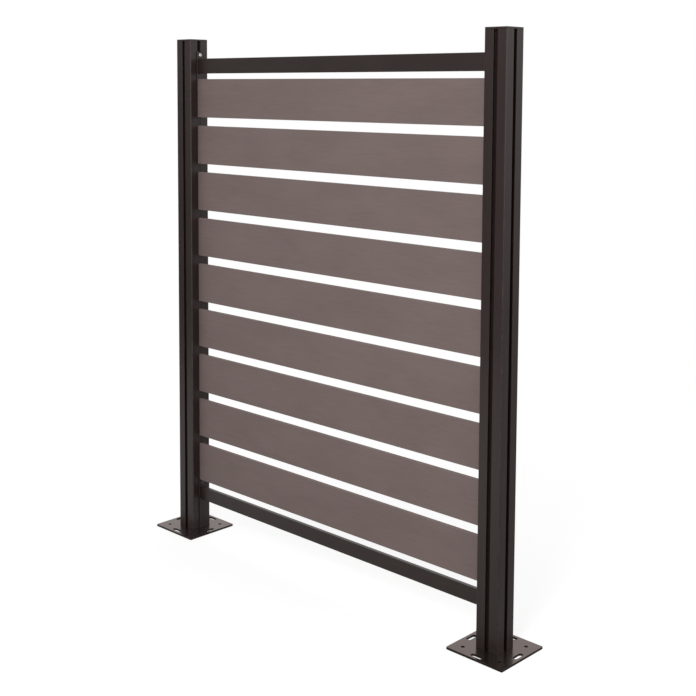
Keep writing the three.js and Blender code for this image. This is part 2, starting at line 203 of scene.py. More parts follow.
class Workpiece:
    """A solid under the tools: one mesh object, with its place kept in its mesh.

    The methods that shape it return it.
    """

    SMOOTH_ANGLE = math.radians(32)
    SHARP_ANGLE = math.radians(50)  # softening rounds edges that are sharper than this
    WEAR_ATTRIBUTE = "edge_wear"
    SIDE_ATTRIBUTE = "upright_face"
    FLAT_ENOUGH = 0.985  # a face whose normal is nearer an axis than this isn't an edge
    STEEP_ENOUGH = 0.6  # a face whose normal rises less than this stands upright

    def __init__(self, body: bpy.types.Object) -> None:
        """Takes over a newly made object and applies its place to its mesh.

        Args:
            body: The object.
        """
        self.body = body
        self._grip()
        bpy.ops.object.transform_apply(location=True, rotation=True, scale=True)

    @classmethod
    def block(cls, low: Sequence[float], high: Sequence[float]) -> "Workpiece":
        """Starts from a box.

        Args:
            low: Its lowest corner.
            high: Its highest corner.

        Returns:
            The new piece.
        """
        clear_selection()
        low, high = Vector(low), Vector(high)
        bpy.ops.mesh.primitive_cube_add(size=1, location=(low + high) / 2, scale=high - low)
        return cls(bpy.context.object)

    @classmethod
    def rod(cls, radius: float, start: Sequence[float], length: float,
            axis: Axis = Axis.Z, sides: int = 48) -> "Workpiece":
        """Starts from a round bar.

        Args:
            radius: The bar's radius.
            start: The centre of its lower end.
            length: Its length.
            axis: The axis that it runs along, X or Z.
            sides: The number of its sides.

        Returns:
            The new piece.
        """
        clear_selection()
        centre = Vector(start) + axis.vector * length / 2
        turn = (0, math.pi / 2, 0) if axis is Axis.X else (0, 0, 0)
        bpy.ops.mesh.primitive_cylinder_add(
            vertices=sides, radius=radius, depth=length, location=centre, rotation=turn)
        return cls(bpy.context.object)

    @classmethod
    def hex_bar(cls, flats: float, start: Sequence[float], length: float,
                axis: Axis = Axis.Z) -> "Workpiece":
        """Starts from a hexagonal bar, given by its width across its flats."""
        return cls.rod(flats / math.cos(math.pi / 6) / 2, start, length, axis, sides=6)

    def _grip(self) -> None:
        """Makes this the only selected and the active object."""
        clear_selection()
        self.body.select_set(True)
        bpy.context.view_layer.objects.active = self.body

    def work(self, pick: Pick, test: Test, tool: Callable[[], object]) -> "Workpiece":
        """Selects edges or faces in edit mode and runs a tool on them.

        Args:
            pick: Whether edges or faces are selected.
            test: Says which ones.
            tool: The tool to run, without arguments.

        Returns:
            This piece.

        Raises:
            ValueError: If nothing passes the test.
        """
        self._grip()
        bpy.ops.object.mode_set(mode="EDIT")
        bpy.ops.mesh.select_mode(type=pick.value)
        bpy.ops.mesh.select_all(action="DESELECT")
        mesh = bmesh.from_edit_mesh(self.body.data)
        mesh.normal_update()
        elements = mesh.edges if pick is Pick.EDGES else mesh.faces
        chosen = [element for element in elements if test(element)]
        if not chosen:
            raise ValueError(f"nothing to work on in {self.body.name}")
        for element in chosen:
            element.select_set(True)
        bmesh.update_edit_mesh(self.body.data)
        tool()
        bpy.ops.object.mode_set(mode="OBJECT")
        return self

    def round_edges(self, test: Test, radius: float, steps: int) -> "Workpiece":
        """Rounds the edges that pass a test, with a number of facets across the round."""
        return self.work(Pick.EDGES, test, lambda: bpy.ops.mesh.bevel(
            offset=radius, segments=steps, profile=0.5, affect="EDGES", clamp_overlap=True))

    def extrude(self, test: Test, offset: Sequence[float]) -> "Workpiece":
        """Extrudes the faces that pass a test by an offset."""
        return self.work(Pick.FACES, test, lambda: bpy.ops.mesh.extrude_region_move(
            TRANSFORM_OT_translate={"value": tuple(offset)}))

    def widen(self, test: Test, factors: Triple, centre: Sequence[float]) -> "Workpiece":
        """Scales the faces that pass a test by a factor along each axis, about a point."""
        return self.work(Pick.FACES, test, lambda: bpy.ops.transform.resize(
            value=factors, center_override=tuple(centre)))

    def score(self, width: float) -> "Workpiece":
        """Adds two rings of edges that part off a strip of a width, midway in Y.

        Args:
            width: The strip's width.

        Returns:
            This piece.
        """
        for place in (-width / 2, width / 2):
            self.work(Pick.FACES, everything, lambda: bpy.ops.mesh.bisect(
                plane_co=(0, place, 0), plane_no=tuple(Axis.Y.vector)))
        return self

    def _modify(self, kind: str, **settings: Any) -> "Workpiece":
        """Adds a modifier, sets it and applies it to the mesh.

        Args:
            kind: The modifier's type.
            settings: Its settings.

        Returns:
            This piece.
        """
        modifier = self.body.modifiers.new(kind, kind)
        for name, value in settings.items():
            setattr(modifier, name, value)
        self._grip()
        bpy.ops.object.modifier_apply(modifier=modifier.name)
        return self

    def _boolean(self, operation: str, other: "Workpiece") -> None:
        """Combines another piece with this one and then removes it."""
        self._modify("BOOLEAN", operation=operation, solver="EXACT", object=other.body)
        bpy.data.objects.remove(other.body)

    def cut(self, *tools: "Workpiece") -> "Workpiece":
        """Takes other pieces away from this one.

        Args:
            tools: The pieces to take away. They are used up.

        Returns:
            This piece.
        """
        for tool in tools:
            self._boolean("DIFFERENCE", tool)
        return self

    def join(self, other: "Workpiece") -> "Workpiece":
        """Joins another piece to this one."""
        self._boolean("UNION", other)
        return self

    def soften(self, radius: float, steps: int = 2) -> "Workpiece":
        """Rounds every sharp edge, with a number of facets across the round."""
        return self._modify("BEVEL", width=radius, segments=steps, limit_method="ANGLE",
                            angle_limit=self.SHARP_ANGLE, miter_outer="MITER_ARC")

    def copy(self, offset: Sequence[float] = (0, 0, 0), turn: float = 0.0) -> "Workpiece":
        """Copies the piece with a mesh of its own.

        Args:
            offset: Where the copy is moved to.
            turn: The angle that it is first turned by, about the upright axis.

        Returns:
            The copy.
        """
        self._grip()
        bpy.ops.object.duplicate(linked=False)
        twin = bpy.context.object
        twin.rotation_euler = (0, 0, turn)
        twin.location = offset
        return Workpiece(twin)

    def around(self, x: float) -> "list[Workpiece]":
        """Repeats the piece at all four quarter turns about an upright line.

        Args:
            x: Where the line stands, in the screen's middle plane.

        Returns:
            The piece and its three copies.
        """
        pivot = Vector((x, 0, 0))
        pieces = [self]
        for quarters in (1, 2, 3):
            turn = quarters * math.pi / 2
            pieces.append(self.copy(pivot - Matrix.Rotation(turn, 3, "Z") @ pivot, turn))
        return pieces

    def finish(self) -> "Workpiece":
        """Cleans the mesh, smooths its rounds and marks its edges and upright faces.

        Returns:
            This piece.
        """
        self.work(Pick.FACES, everything, self._clean)
        self._grip()
        bpy.ops.object.shade_smooth_by_angle(angle=self.SMOOTH_ANGLE)
        self._modify("WEIGHTED_NORMAL", keep_sharp=True)
        self._mark_faces()
        return self

    @staticmethod
    def _clean() -> None:
        """Merges doubled points and turns the faces outwards."""
        bpy.ops.mesh.remove_doubles(threshold=TOUCH)
        bpy.ops.mesh.normals_make_consistent(inside=False)

    def _mark_faces(self) -> None:
        """Stores which faces belong to rounded edges and which ones stand upright."""
        mesh = self.body.data
        for name in (self.WEAR_ATTRIBUTE, self.SIDE_ATTRIBUTE):
            mesh.attributes.new(name, "FLOAT", "FACE")
        wear = mesh.attributes[self.WEAR_ATTRIBUTE]
        upright = mesh.attributes[self.SIDE_ATTRIBUTE]
        for polygon in mesh.polygons:
            nearest = max(abs(part) for part in polygon.normal)
            rise = abs(polygon.normal.z)
            wear.data[polygon.index].value = float(nearest < self.FLAT_ENOUGH)
            upright.data[polygon.index].value = float(rise < self.STEEP_ENOUGH)


# --- Shader trees ---


class Signal:
    """A shader socket's output, with Python's operators as Math nodes."""

    def __init__(self, tree: "ShaderTree", socket: bpy.types.NodeSocket | None) -> None:
        """Wraps a socket of a tree."""
        self.tree = tree
        self.socket = socket

    def _math(self, operation: str, *values: Any) -> "Signal":
        """Adds a Math node and returns its result."""
        inputs = dict(enumerate(values))
        return self.tree.node("ShaderNodeMath", {"operation": operation}, inputs)

    def __add__(self, other: Any) -> "Signal":
        """Returns self + other."""
        return self._math("ADD", self, other)

    def __radd__(self, other: float) -> "Signal":
        """Returns other + self."""
        return self._math("ADD", other, self)

    def __sub__(self, other: Any) -> "Signal":
        """Returns self - other."""
        return self._math("SUBTRACT", self, other)

    def __rsub__(self, other: float) -> "Signal":
        """Returns other - self."""
        return self._math("SUBTRACT", other, self)

    def __mul__(self, other: Any) -> "Signal":
        """Returns self * other."""
        return self._math("MULTIPLY", self, other)

    def __rmul__(self, other: float) -> "Signal":
        """Returns other * self."""
        return self._math("MULTIPLY", other, self)

    def at_most(self, other: Any) -> "Signal":
        """Returns the smaller of two values."""
        return self._math("MINIMUM", self, other)

    def at_least(self, other: Any) -> "Signal":
        """Returns the larger of two values."""
        return self._math("MAXIMUM", self, other)

    def ramp(self, low: float, high: float) -> "Signal":
        """Maps low to 0 and high to 1 in a smooth step."""
        return self.tree.node(
            "ShaderNodeMapRange", {"interpolation_type": "SMOOTHSTEP"},
            {"Value": self, "From Min": low, "From Max": high}, "Result")


class ShaderTree:
    """The node tree of a material or of the world."""

    def __init__(self, owner: bpy.types.Material | bpy.types.World) -> None:
        """Empties a tree to start from.

        Args:
            owner: The material or the world that the tree belongs to.
        """
        owner.use_nodes = True
        self.tree = owner.node_tree
        self.tree.nodes.clear()

    def node(self, kind: str, settings: dict[str, Any] | None = None,
             inputs: dict[str | int, Any] | None = None,
             output: str | int = 0) -> Signal:
        """Adds a node.

        Args:
            kind: The node's type.
            settings: Its own settings, which are set first.
            inputs: The value or the Signal of each input, by name or by number.
            output: The output to return, by name or by number.

        Returns:
            The output as a Signal.
        """
        node = self.tree.nodes.new(kind)
        for name, value in (settings or {}).items():
            setattr(node, name, value)
        for name, value in (inputs or {}).items():
            socket = node.inputs[name]
            if isinstance(value, Signal):
                self.tree.links.new(value.socket, socket)
            else:
                socket.default_value = value
        return Signal(self, node.outputs[output] if node.outputs else None)

    def place(self) -> Signal:
        """Returns the Object coordinates, which are metres in the screen's frame."""
        return self.node("ShaderNodeTexCoord", output="Object")

    def stretched(self, scale: Triple) -> Signal:
        """Returns the Object coordinates, scaled along each axis."""
        return self.node("ShaderNodeMapping", {"vector_type": "POINT"},
                         {"Vector": self.place(), "Scale": scale})

    def towards(self, vector: Signal, direction: Triple) -> Signal:
        """Returns how far a vector reaches in a direction."""
        return self.node("ShaderNodeVectorMath", {"operation": "DOT_PRODUCT"},
                         {0: vector, 1: direction}, "Value")

    def rays(self) -> list[Signal]:
        """Returns which rays see a surface: the camera's, mirrored or clear ones."""
        return [self.node("ShaderNodeLightPath", output=kind)
                for kind in ("Is Camera Ray", "Is Glossy Ray", "Is Transmission Ray")]

    def noise(self, scale: Triple, detail: float = 2.0, roughness: float = 0.5) -> Signal:
        """Adds a noise pattern, about 0.5 on average.

        Args:
            scale: Its cells in a metre, along each axis.
            detail: The number of its finer layers.
            roughness: How strong the finer layers are.

        Returns:
            The pattern.
        """
        return self.node("ShaderNodeTexNoise", {"noise_dimensions": "3D"}, {
            "Vector": self.stretched(scale), "Scale": 1.0, "Detail": detail,
            "Roughness": roughness})

    def specks(self, scale: Triple) -> Signal:
        """Returns the distance to the nearest of many scattered points."""
        return self.node("ShaderNodeTexVoronoi", {"feature": "F1"}, {
            "Vector": self.stretched(scale), "Scale": 1.0}, "Distance")

    def attribute(self, name: str) -> Signal:
        """Returns a mesh attribute."""
        return self.node("ShaderNodeAttribute",
                         {"attribute_type": "GEOMETRY", "attribute_name": name}, output="Fac")

    def blend(self, amount: Any, first: Any, second: Any) -> Signal:
        """Mixes two colours: an amount of 0 gives the first, 1 the second."""
        return self.node("ShaderNodeMix", {"data_type": "RGBA"},
                         {0: amount, 6: first, 7: second}, 2)

    def bump(self, height: Signal, depth: float, under: Signal | None = None) -> Signal:
        """Turns a height pattern into a normal.

        Args:
            height: The pattern, from 0 to 1.
            depth: The height of 1, in metres.
            under: A coarser bump that this one lies on.

        Returns:
            The normal.
        """
        inputs: dict[str | int, Any] = {"Height": height, "Distance": depth, "Strength": 1.0}
        if under:
            inputs["Normal"] = under
        return self.node("ShaderNodeBump", inputs=inputs)

    def principled(self, colour: Signal, roughness: Signal, normal: Signal,
                   constants: dict[str, Any]) -> Signal:
        """Adds the usual shader, with what varies and with its constant inputs."""
        return self.node("ShaderNodeBsdfPrincipled", inputs={
            "Base Color": colour, "Roughness": roughness, "Normal": normal, **constants})

    def surface(self, shader: Signal) -> None:
        """Makes a shader the material's surface."""
        self.node("ShaderNodeOutputMaterial", inputs={"Surface": shader})


def linear(colour: Colour, gain: float = 1.0) -> tuple[float, ...]:
    """Turns an everyday colour into the linear one that shaders use.

    Args:
        colour: Its red, green and blue, from 0 to 255.
        gain: How many times lighter it gets.

    Returns:
        The linear colour, with an alpha of 1.
    """
    def part(value: int) -> float:
        """Undoes the usual display curve for one channel."""
        share = value / 255
        return share / 12.92 if share <= 0.04045 else ((share + 0.055) / 1.055) ** 2.4

    return *(gain * part(value) for value in colour), 1.0


# --- Finishes ---


@dataclass(frozen=True)
class Finish:
    """What all finishes share.

    Attributes:
        name: The material's name.
        colour: The surface's everyday colour.
        roughness: Its mean roughness.
    """

    name: str
    colour: Colour
    roughness: float

    def material(self) -> bpy.types.Material:
        """Builds the material.

        Returns:
            The new material.
        """
        made = bpy.data.materials.new(self.name)
        tree = ShaderTree(made)
        tree.surface(self.shader(tree))
        return made

    def shader(self, tree: ShaderTree) -> Signal:
        """Adds the finish's nodes to a tree and returns its shader."""
        raise NotImplementedError


@dataclass(frozen=True)
class PowderCoat(Finish):
    """Satin dark bronze powder coat on aluminium.

    Attributes:
        worn: The coat's everyday colour along rubbed edges.
        sheen: Its specular level, 0.5 for plain lacquer.
        shaded_side_sheen: A lower level on upright faces, where it differs, which paints shade on
            the sides and hole walls.
        ior: Its index of refraction.
        tint: The colour of its reflections seen straight on.
        grain: The direction of the faint lines left by the extrusion die, if any.
    """

    colour: Colour = (41, 31, 28)
    roughness: float = 0.31
    worn: Colour = (62, 51, 47)
    sheen: float = 0.5
    shaded_side_sheen: float | None = None
    ior: float = 1.5
    tint: Triple = (1.0, 1.0, 1.0)
    grain: Axis | None = None

    PALER = 1.28  # how many times lighter the coat is in its palest spots
    DEPTH = 0.02 * MILLIMETRE  # of its die lines and of its orange peel
    ACROSS, LENGTHWISE = 260.0, 0.8  # die lines in a metre

    def shader(self, tree: ShaderTree) -> Signal:
        """Adds the coat's nodes.

        Args:
            tree: The material's tree.

        Returns:
            The shader, whose lower sheen on upright faces, where one is given, is painted shade.
        """
        cloud = tree.noise((7, 7, 7), detail=3)
        peel = tree.noise((620, 620, 620), detail=1)
        fleck = tree.noise((2600, 2600, 2600), detail=1)
        lines = self._die_lines(tree)
        patches = tree.noise((60, 60, 60), detail=4).ramp(0.42, 0.7)
        rubbed = tree.attribute(Workpiece.WEAR_ATTRIBUTE) * patches
        uneven = cloud.ramp(0.3, 0.75) * 0.5 + fleck.ramp(0.45, 0.75) * 0.3 + lines * 0.35
        coat = tree.blend(uneven, linear(self.colour), linear(self.colour, self.PALER))
        coat = tree.blend(rubbed * 0.55, coat, linear(self.worn))
        roughness = self.roughness + (cloud - 0.5) * 0.10 + lines * 0.06 + rubbed * 0.08
        normal = tree.bump(peel, self.DEPTH, tree.bump(lines, self.DEPTH))
        # Where a second level is given, a less glossy copy of the coat on upright faces paints
        # shade on the sides and hole walls.
        faces = [
            tree.principled(coat, roughness, normal, {
                "IOR": self.ior, "Specular IOR Level": sheen, "Specular Tint": (*self.tint, 1.0)})
            for sheen in (self.sheen, self.shaded_side_sheen) if sheen is not None]
        if len(faces) == 1:
            return faces[0]
        upright = tree.attribute(Workpiece.SIDE_ATTRIBUTE)
        return tree.node("ShaderNodeMixShader", inputs=dict(enumerate((upright, *faces))))

    def _die_lines(self, tree: ShaderTree) -> Signal:
        """Adds the faint lines along the extrusion, or even grain without one.

        Args:
            tree: The material's tree.

        Returns:
            The pattern, from 0 to 1.
        """
        if self.grain is None:
            return tree.noise((90, 90, 90), detail=2).ramp(0.35, 0.8)
        scale = tuple(self.LENGTHWISE if axis is self.grain else self.ACROSS for axis in Axis)
        return tree.noise(scale, detail=3).ramp(0.4, 0.75)


@dataclass(frozen=True)
class CompositeBoard(Finish):
    """Smooth taupe wood-plastic composite with a faint grain along the board.

    Attributes:
        fibre: The colour of the darker grain.
        fleck: The colour of the few pale flecks.
        sheen: The specular level.
    """

    name: str = "taupe_composite"
    colour: Colour = (121, 106, 103)
    roughness: float = 0.62
    fibre: Colour = (107, 93, 90)
    fleck: Colour = (152, 138, 133)
    sheen: float = 0.3

    FIBRE_DEPTH = 0.05 * MILLIMETRE
    SCRATCH_DEPTH = 0.012 * MILLIMETRE

    def shader(self, tree: ShaderTree) -> Signal:
        """Adds the board's nodes.

        Args:
            tree: The material's tree.

        Returns:
            The shader.
        """
        cloud = tree.noise((3.5, 9, 9), detail=3)
        fibres = tree.noise((14, 420, 420), detail=4, roughness=0.6)
        scratches = tree.noise((5, 1500, 1500), detail=2)
        flecks = 1 - tree.specks((55, 75, 75)).ramp(0.02, 0.05)
        colour = tree.blend(cloud.ramp(0.3, 0.7) * 0.35 + fibres.ramp(0.45, 0.7) * 0.4,
                            linear(self.colour), linear(self.fibre))
        rubbed = tree.attribute(Workpiece.WEAR_ATTRIBUTE)
        for paler in (flecks * 0.35, rubbed * 0.18):
            colour = tree.blend(paler, colour, linear(self.fleck))
        roughness = self.roughness + (fibres - 0.5) * 0.14 + (cloud - 0.5) * 0.06
        normal = tree.bump(scratches, self.SCRATCH_DEPTH, tree.bump(fibres, self.FIBRE_DEPTH))
        return tree.principled(colour, roughness, normal, {
            "IOR": 1.5, "Specular IOR Level": self.sheen})


@dataclass(frozen=True)
class MouldedPlastic(Finish):
    """Near-black moulded plastic with a fine spark-eroded grain."""

    name: str = "moulded_plastic"
    colour: Colour = (36, 29, 27)
    roughness: float = 0.5

    PALER = 1.5  # how many times lighter it is along its flow lines and edges
    GRAIN_DEPTH = 0.06 * MILLIMETRE

    def shader(self, tree: ShaderTree) -> Signal:
        """Adds the plastic's nodes.

        Args:
            tree: The material's tree.

        Returns:
            The shader.
        """
        grain = tree.noise((1300, 1300, 1300), detail=2, roughness=0.6)
        flow = tree.noise((30, 30, 12), detail=3)
        rubbed = tree.attribute(Workpiece.WEAR_ATTRIBUTE) * 0.4
        colour = tree.blend(flow.ramp(0.35, 0.75) * 0.4 + rubbed,
                            linear(self.colour), linear(self.colour, self.PALER))
        roughness = self.roughness + (grain - 0.5) * 0.16
        normal = tree.bump(grain, self.GRAIN_DEPTH)
        return tree.principled(colour, roughness, normal, {"IOR": 1.46})


@dataclass(frozen=True)
class ZincSteel(Finish):
    """Zinc-plated steel with faint turning marks, bright, or darker as painted shade.

    Attributes:
        tarnish: The plating's colour where it is dulled.
    """

    name: str = "zinc_steel"
    colour: Colour = (228, 228, 226)
    roughness: float = 0.24
    tarnish: Colour = (178, 178, 172)

    MARK_DEPTH = 0.012 * MILLIMETRE

    def shader(self, tree: ShaderTree) -> Signal:
        """Adds the plating's nodes.

        Args:
            tree: The material's tree.

        Returns:
            The shader.
        """
        dulled = tree.noise((420, 420, 420), detail=3).ramp(0.45, 0.75) * 0.6
        marks = tree.noise((2600, 900, 900), detail=2)
        colour = tree.blend(dulled, linear(self.colour), linear(self.tarnish))
        roughness = self.roughness + dulled * 0.2 + (marks - 0.5) * 0.1
        normal = tree.bump(marks, self.MARK_DEPTH)
        return tree.principled(colour, roughness, normal, {"Metallic": 1.0})


# --- Sub-assemblies ---


@dataclass
class SubAssembly:
    """What all sub-assemblies share: dressing pieces and carrying them to other places.

    Attributes:
        finish: The material of the pieces.
        slot: Their material slot; not used.
    """

    finish: bpy.types.Material
    slot: Slot

    def dress(self, piece: Workpiece, node: str,
              finish: bpy.types.Material | None = None) -> None:
        """Names a finished piece, coats it and puts it in its node's place.

        Args:
            piece: The piece.
            node: The node that it stands for.
            finish: Its material, where that isn't the sub-assembly's own.
        """
        piece.body.name = piece.body.data.name = f"fine_{node}"
        piece.body.data.materials.clear()
        piece.body.data.materials.append(finish or self.finish)
        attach(piece.body, BODY)
        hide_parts(node)
        LOG.info("%s: %d faces", piece.body.name, len(piece.body.data.polygons))

    def dress_pair(self, piece: Workpiece, name: str,
                   finish: bpy.types.Material | None = None) -> None:
        """Dresses a left piece and the same piece turned round for the right.

        Args:
            piece: The finished left piece.
            name: The piece's name without its side.
            finish: The material of both, where that isn't the sub-assembly's own.
        """
        twin = piece.copy(turn=math.pi)
        self.dress(piece, Side.LEFT.node(name), finish)
        self.dress(twin, Side.RIGHT.node(name), finish)

    def dress_row(self, piece: Workpiece, stem: str, count: int) -> None:
        """Dresses pairs for all the numbered nodes that share a piece's shape.

        Args:
            piece: The finished left piece of number 1.
            stem: The pieces' name without side and number.
            count: How many there are at each side.
        """
        first = left_box(f"{stem}_1")[0]
        for number in range(2, count + 1):
            name = f"{stem}_{number}"
            self.dress_pair(piece.copy(left_box(name)[0] - first), name)
        self.dress_pair(piece, f"{stem}_1")


@dataclass
class SlottedPost(SubAssembly):
    """The post extrusion: a square tube with a T-slot down the middle of every face.

    Attributes:
        corner: Radius of the post's corners.
        mouth: Width of the slots' mouth.
        lip: Thickness of the lips beside the mouth.
        lip_round: Radius of the lips' outer edges.
        inner: Width of the slots behind the lips.
        depth: Depth of the slots.
        wall: Thickness of the outer wall and of the slots' walls.
        fillet: Radius inside the slots.
        port_bore: Diameter of the screw port in each corner.
        port_wall: Wall around a screw port.
        pilot: Diameter of the holes for the bracket screws.
    """

    corner: float = 4 * MILLIMETRE
    mouth: float = 15 * MILLIMETRE
    lip: float = 3 * MILLIMETRE
    lip_round: float = 0.9 * MILLIMETRE
    inner: float = 27 * MILLIMETRE
    depth: float = 16 * MILLIMETRE
    wall: float = 2.5 * MILLIMETRE
    fillet: float = 1 * MILLIMETRE
    port_bore: float = 5.5 * MILLIMETRE
    port_wall: float = 2.5 * MILLIMETRE
    pilot: float = 6.1 * MILLIMETRE

    LIP_SEARCH = 0.2 * MILLIMETRE  # how near a lip's edge is looked for

    def __post_init__(self) -> None:
        """Takes the post's place from its node."""
        low, high = left_box("post")
        self.half = (high.x - low.x) / 2
        self.x = left_middle("post")[0]
        self.bottom, self.top = low.z, high.z
        self.core = self.half - self.depth - self.wall
        self.port = self.half - self.wall - self.port_bore / 2 - self.port_wall / 2

    def build(self) -> None:
        """Models the left post and places both posts."""
        post = Workpiece.block((self.x - self.half, -self.half, self.bottom),
                               (self.x + self.half, self.half, self.top))
        post.round_edges(along(Axis.Z), self.corner, steps=8)
        post.cut(*self._slot_space().around(self.x))
        post.cut(self._core_space(), *self._corner_space().around(self.x),
                 *self._upright(self.port_bore / 2).around(self.x))
        post.cut(*self._pilots())
        post.round_edges(self._is_lip_edge, self.lip_round, steps=3)
        self.dress_pair(post.finish(), "post")

    def _through(self, near: Span, far: Span) -> Workpiece:
        """Returns a cutter through the whole post, between two points of its section."""
        return Workpiece.block((self.x + near[0], near[1], self.bottom - SPARE),
                               (self.x + far[0], far[1], self.top + SPARE))

    def _slot_space(self) -> Workpiece:
        """Models the space of the T-slot in the post's +X face.

        Returns:
            The cutter.
        """
        space = self._through((self.half - self.depth, -self.inner / 2),
                              (self.half - self.lip, self.inner / 2))
        space.round_edges(along(Axis.Z), self.fillet, steps=3).score(self.mouth)
        mouth = looking(Axis.X, reach=self.mouth / 4)
        return space.extrude(mouth, (self.lip + SPARE, 0, 0))

    def _core_space(self) -> Workpiece:
        """Returns the square hollow in the middle of the post."""
        core = self._through((-self.core, -self.core), (self.core, self.core))
        return core.round_edges(along(Axis.Z), self.fillet, steps=3)

    def _corner_space(self) -> Workpiece:
        """Models the hollow in one corner, around the wall of its screw port.

        Returns:
            The cutter.
        """
        near = self.inner / 2 + self.wall
        far = self.half - self.wall
        outer = self.port_bore / 2 + self.port_wall
        return self._through((near, near), (far, far)).cut(self._upright(outer))

    def _upright(self, radius: float) -> Workpiece:
        """Returns a round bar through the corner where a screw port is."""
        start = (self.x + self.port, self.port, self.bottom - 2 * SPARE)
        return Workpiece.rod(radius, start, self.top - self.bottom + 4 * SPARE, sides=24)

    def _pilots(self) -> list[Workpiece]:
        """Models the space of the bracket screws' holes in the slot floor.

        Returns:
            The two cutters.
        """
        x = self.x + self.core - self.wall
        heights = (left_middle(f"{level}_bracket_screw")[2] for level in ("bottom", "top"))
        return [Workpiece.rod(self.pilot / 2, (x, 0, height), 3 * self.wall, Axis.X, sides=24)
                for height in heights]

    def _is_lip_edge(self, edge: bmesh.types.BMEdge) -> bool:
        """Tells the long edges where the slots' mouths meet the post's faces.

        Args:
            edge: The edge to look at.

        Returns:
            Whether it is one of them.
        """
        place = edge.verts[0].co
        near, far = sorted((abs(place.x - self.x), abs(place.y)))
        return (along(Axis.Z)(edge) and abs(near - self.mouth / 2) < self.LIP_SEARCH
                and abs(far - self.half) < self.LIP_SEARCH)


@dataclass
class PostCap(SubAssembly):
    """The flat cap on a post, with a square plug in the post's core.

    Attributes:
        corner: Radius of the cap's corners.
        edge: Radius of its top edge.
        fine_edge: Radius of its other edges.
        thickness: Thickness of its plate.
        plug: Half the width of its plug.
        wall: Wall of the plug.
    """

    corner: float = 4 * MILLIMETRE
    edge: float = 1 * MILLIMETRE
    fine_edge: float = 0.3 * MILLIMETRE
    thickness: float = 6 * MILLIMETRE
    plug: float = 21.1 * MILLIMETRE
    wall: float = 2.5 * MILLIMETRE

    def build(self) -> None:
        """Models the left cap and places both caps."""
        low, high = left_box("post_cap")
        x = left_middle("post_cap")[0]
        underside = high.z - self.thickness
        inner = self.plug - self.wall
        cap = Workpiece.block((low.x, low.y, underside), high)
        cap.round_edges(along(Axis.Z), self.corner, steps=8)
        cap.round_edges(lying_at(Axis.Z, high.z), self.edge, steps=3)
        cap.join(Workpiece.block((x - self.plug, -self.plug, low.z),
                                 (x + self.plug, self.plug, high.z - self.thickness / 2)))
        cap.cut(Workpiece.block((x - inner, -inner, low.z - SPARE), (x + inner, inner, underside)))
        cap.soften(self.fine_edge).finish()
        self.dress_pair(cap, "post_cap")


@dataclass
class BasePlate(SubAssembly):
    """The square base plate with its anchor slots, corner holes and screw holes.

    Attributes:
        corner: Radius of the plate's corners.
        edge: Radius of its edges.
        slot_length: Length of an anchor slot.
        slot_width: Width of an anchor slot.
        slot_inset: From the plate's edge to a slot's centre line.
        hole: Diameter of a corner hole.
        hole_inset: From the plate's edges to a hole's centre.
        screw_hole: Diameter of the holes for the plate screws.
        countersink: Diameter of their countersinks, on the underside.
        screw_offset: From the post's axis to a screw hole, each way.
    """

    corner: float = 3 * MILLIMETRE
    edge: float = 0.5 * MILLIMETRE
    slot_length: float = 41 * MILLIMETRE
    slot_width: float = 15 * MILLIMETRE
    slot_inset: float = 17 * MILLIMETRE
    hole: float = 12 * MILLIMETRE
    hole_inset: float = 35.5 * MILLIMETRE
    screw_hole: float = 5.4 * MILLIMETRE
    countersink: float = 10.6 * MILLIMETRE
    screw_offset: float = 33.5 * MILLIMETRE

    ROUND_END = 0.499  # radius of an anchor slot's ends, as a share of its width

    def __post_init__(self) -> None:
        """Takes the plate's place from its node."""
        self.low, self.high = left_box("base_plate")
        self.x = left_middle("base_plate")[0]
        self.half = (self.high.x - self.low.x) / 2

    def build(self) -> None:
        """Models the left plate and places both plates."""
        plate = Workpiece.block(self.low, self.high)
        plate.round_edges(along(Axis.Z), self.corner, steps=6)
        for tool in (self._anchor_slot(), self._corner_hole(), self._screw_hole()):
            plate.cut(*tool.around(self.x))
        plate.soften(self.edge, steps=3).finish()
        self.dress_pair(plate, "base_plate")

    def _anchor_slot(self) -> Workpiece:
        """Models the space of the slot beside the plate's +X edge.

        Returns:
            The cutter.
        """
        centre = self.x + self.half - self.slot_inset
        reach = Vector((self.slot_width / 2, self.slot_length / 2, 0))
        slot = Workpiece.block(Vector((centre, 0, self.low.z - SPARE)) - reach,
                               Vector((centre, 0, self.high.z + SPARE)) + reach)
        return slot.round_edges(along(Axis.Z), self.ROUND_END * self.slot_width, steps=14)

    def _corner_hole(self) -> Workpiece:
        """Returns the cutter of one corner hole."""
        place = self.half - self.hole_inset
        return Workpiece.rod(self.hole / 2, (self.x + place, place, self.low.z - SPARE),
                             self.high.z - self.low.z + 2 * SPARE)

    def _screw_hole(self) -> Workpiece:
        """Models the space of one countersunk hole, open to the underside.

        Returns:
            The cutter.
        """
        x, y = self.x + self.screw_offset, self.screw_offset
        depth = (self.countersink - self.screw_hole) / 2
        share = self.screw_hole / self.countersink
        top = looking(Axis.Z)
        hole = Workpiece.rod(self.countersink / 2, (x, y, self.low.z - SPARE), SPARE, sides=32)
        hole.extrude(top, (0, 0, depth))
        hole.widen(top, (share, share, 1), (x, y, self.low.z + depth))
        return hole.extrude(top, (0, 0, self.high.z - self.low.z))


